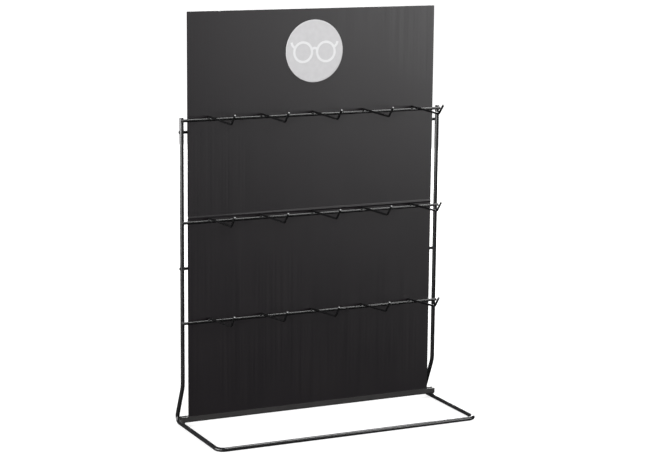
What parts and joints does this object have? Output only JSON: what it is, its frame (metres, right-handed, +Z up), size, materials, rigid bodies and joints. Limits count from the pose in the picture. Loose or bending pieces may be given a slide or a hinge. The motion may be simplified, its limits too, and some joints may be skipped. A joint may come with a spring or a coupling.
{
  "type": "eyeglasses display stand",
  "caption": "Countertop eyeglasses display: bent black rod frame, rows of upturned wire hooks on cross bars, and a lift-out fluted black back board with a round pale badge.",
  "frame": {"origin": "on the counter, under the middle of the stand's footprint", "axes": "+X to the right as a customer faces the stand, -Y out of its front, where the hooks point, +Z up"},
  "size_m": [0.34, 0.1346, 0.492],
  "materials": {
    "frame_coat": "satin black powder coat",
    "wire_coat": "satin black powder coat",
    "board_plastic": "satin black fluted polypropylene",
    "badge_vinyl": "pale grey satin vinyl"
  },
  "bodies": {
    "stand": {"frame_rod": "frame_coat", "bottom_channel": "frame_coat", "hook_bar_top": "wire_coat", "hook_bar_middle": "wire_coat", "hook_bar_bottom": "wire_coat", "rear_bar_upper": "wire_coat", "rear_bar_lower": "wire_coat", "hook_top_1": "wire_coat", "hook_top_2": "wire_coat", "hook_top_3": "wire_coat", "hook_top_4": "wire_coat", "hook_top_5": "wire_coat", "hook_middle_1": "wire_coat", "hook_middle_2": "wire_coat", "hook_middle_3": "wire_coat", "hook_middle_4": "wire_coat", "hook_middle_5": "wire_coat", "hook_bottom_1": "wire_coat", "hook_bottom_2": "wire_coat", "hook_bottom_3": "wire_coat", "hook_bottom_4": "wire_coat", "hook_bottom_5": "wire_coat"},
    "board": {"back_board": "board_plastic", "header_badge": "badge_vinyl"}
  },
  "joints": [
    {"name": "board_lift", "type": "slide", "parent": "stand", "child": "board", "axis": [0, 0, 1], "range_m": [0, 0.39]}
  ]
}
